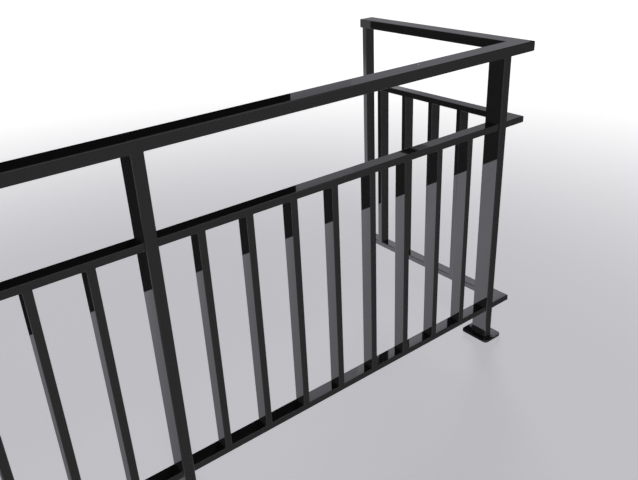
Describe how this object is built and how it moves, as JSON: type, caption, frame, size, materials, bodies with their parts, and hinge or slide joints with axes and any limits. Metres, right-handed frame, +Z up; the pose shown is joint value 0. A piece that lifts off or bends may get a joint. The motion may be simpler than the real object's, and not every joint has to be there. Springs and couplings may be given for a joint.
{
  "type": "balcony balustrade",
  "caption": "Black painted steel balcony balustrade: a straight front run on base plates, returned to the wall at both ends, with upright flat balusters.",
  "frame": {"origin": "centre of the underside of the middle post's base plate", "axes": "+X along the front run, +Y back towards the wall, +Z up"},
  "size_m": [2.58, 0.745, 1],
  "materials": {
    "black_paint": "gloss black powder coat"
  },
  "bodies": {
    "root": {"front_handrail": "black_paint", "left_handrail": "black_paint", "right_handrail": "black_paint", "left_handrail_cap": "black_paint", "right_handrail_cap": "black_paint", "left_corner_post": "black_paint", "middle_post": "black_paint", "right_corner_post": "black_paint", "left_corner_base_plate": "black_paint", "middle_base_plate": "black_paint", "right_corner_base_plate": "black_paint", "left_bay_mid_rail": "black_paint", "right_bay_mid_rail": "black_paint", "left_bay_bottom_rail": "black_paint", "right_bay_bottom_rail": "black_paint", "left_bay_balusters": "black_paint", "right_bay_balusters": "black_paint", "left_corner_mid_rail": "black_paint", "right_corner_mid_rail": "black_paint", "left_corner_bottom_rail": "black_paint", "right_corner_bottom_rail": "black_paint", "left_return_mid_rail": "black_paint", "right_return_mid_rail": "black_paint", "left_return_bottom_rail": "black_paint", "right_return_bottom_rail": "black_paint", "left_return_balusters": "black_paint", "right_return_balusters": "black_paint", "left_wall_stile": "black_paint", "right_wall_stile": "black_paint", "left_stile_cap": "black_paint", "right_stile_cap": "black_paint"}
  },
  "joints": []
}
